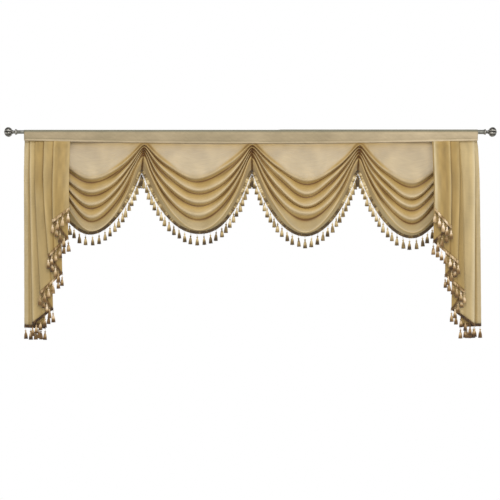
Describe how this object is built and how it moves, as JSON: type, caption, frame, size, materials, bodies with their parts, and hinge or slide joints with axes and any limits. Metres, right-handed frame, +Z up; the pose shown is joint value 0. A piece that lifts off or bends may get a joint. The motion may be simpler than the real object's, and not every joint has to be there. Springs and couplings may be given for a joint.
{
  "type": "sheer waterfall valance on a curtain rod",
  "caption": "Sheer window valance with draped swags and stepped side tails, edged with tassel fringe, hanging by its rod pocket from a curtain rod with ball finials.",
  "frame": {"origin": "on the rod's axis, under the middle joint between two swags", "axes": "+X along the rod to the viewer's right, -Y towards the viewer, +Y towards the wall, +Z up"},
  "size_m": [2.1586, 0.1129, 0.931],
  "materials": {
    "voile": "sheer woven cloth, satin folds",
    "header_voile": "sheer woven cloth in two layers, stitched along its foot",
    "swag_fringe_yarn": "braid and cut yarn",
    "tail_fringe_yarn": "braid and cut yarn",
    "pewter": "satin dark pewter"
  },
  "bodies": {
    "root": {"rod_thin_tube": "pewter", "rod_wide_tube": "pewter", "finial_left": "pewter", "finial_right": "pewter", "header_pocket": "header_voile", "swag_1": "voile", "swag_fringe_1": "swag_fringe_yarn", "swag_2": "voile", "swag_fringe_2": "swag_fringe_yarn", "swag_3": "voile", "swag_fringe_3": "swag_fringe_yarn", "swag_4": "voile", "swag_fringe_4": "swag_fringe_yarn", "tail_left": "voile", "tail_fringe_left": "tail_fringe_yarn", "tail_right": "voile", "tail_fringe_right": "tail_fringe_yarn"}
  },
  "joints": []
}
